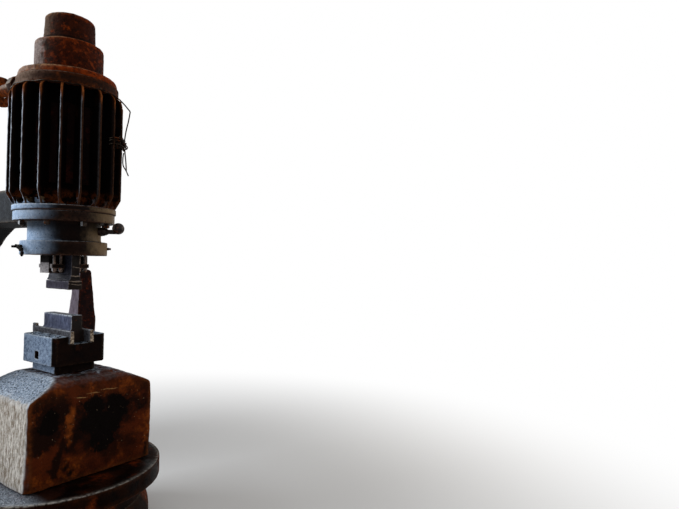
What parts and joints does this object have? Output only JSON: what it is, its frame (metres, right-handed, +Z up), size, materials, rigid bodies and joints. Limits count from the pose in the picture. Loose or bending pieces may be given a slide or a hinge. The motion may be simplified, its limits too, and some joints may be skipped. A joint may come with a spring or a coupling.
{
  "type": "single-frame steam hammer",
  "caption": "Upright steam hammer: ribbed cylinder on a C-shaped cast frame, guided ram with die, domed anvil block on a round pedestal.",
  "frame": {"origin": "on the hammer's axis, where it meets the floor under the anvil pedestal", "axes": "+Z up along the ram's stroke; +Y from the dies towards the frame's column; +X across the dies, to the right seen from the front"},
  "size_m": [0.846, 2.123, 2.265],
  "materials": {
    "rusty_casting": "heavily rusted orange-brown with black oily patches",
    "oily_iron": "dark, oily, with a worn rim",
    "scaled_steel": "speckled grey forge scale over dark brown",
    "die_steel": "blue-grey steel with bright worn edges",
    "key_steel": "hammered bright ends, rusty sides",
    "rusty_bar": "dark red rust",
    "frame_iron": "near-black old paint with rust at the edges",
    "bolt_steel": "dull steel with rust",
    "grey_paint": "dull blue-grey paint, chipped to brown",
    "cock_metal": "dark brown, worn bright on the ball",
    "barrel_iron": "black-brown with grey worn rib edges",
    "pad_red": "dark red-brown with fine level lines",
    "cover_rust": "red-brown rust with dark patches and an orange rim",
    "wire_steel": "blackened wire with rust",
    "ram_steel": "dark oily forging with worn steps",
    "rod_steel": "machined"
  },
  "bodies": {
    "hammer": {"pedestal": "rusty_casting", "base_disc": "oily_iron", "anvil_block": "rusty_casting", "sow_block": "scaled_steel", "lower_die": "die_steel", "die_key_left": "key_steel", "die_key_right": "key_steel", "rear_post_left": "rusty_bar", "rear_post_right": "rusty_bar", "sole_plate": "frame_iron", "frame_column": "frame_iron", "frame_arm": "frame_iron", "frame_bolts": "bolt_steel", "neck": "grey_paint", "guide_flange": "grey_paint", "guide_jaw_left": "grey_paint", "guide_jaw_right": "grey_paint", "guide_studs": "bolt_steel", "wing_bolt": "bolt_steel", "set_screws": "bolt_steel", "head_bolts": "bolt_steel", "drain_cock": "cock_metal", "cock_ball": "cock_metal", "ribbed_barrel": "barrel_iron", "barrel_pads": "pad_red", "top_ring": "cover_rust", "cover_plate": "cover_rust", "cover_drum": "cover_rust", "buffer_cap": "cover_rust", "binding_wire": "wire_steel", "tie_clip": "wire_steel", "chest_ports": "rusty_casting", "valve_chest": "rusty_casting", "chest_cover_left": "grey_paint", "chest_cover_right": "grey_paint", "valve_link": "bolt_steel", "link_lug": "rusty_casting", "steam_pipe": "cover_rust", "pipe_union": "cover_rust", "pipe_flange": "rusty_casting"},
    "ram": {"ram": "ram_steel", "upper_die": "die_steel", "piston_rod": "rod_steel", "piston": "rod_steel"}
  },
  "joints": [
    {"name": "ram_slide", "type": "slide", "parent": "hammer", "child": "ram", "axis": [0, 0, 1], "range_m": [-0.103, 0]}
  ]
}
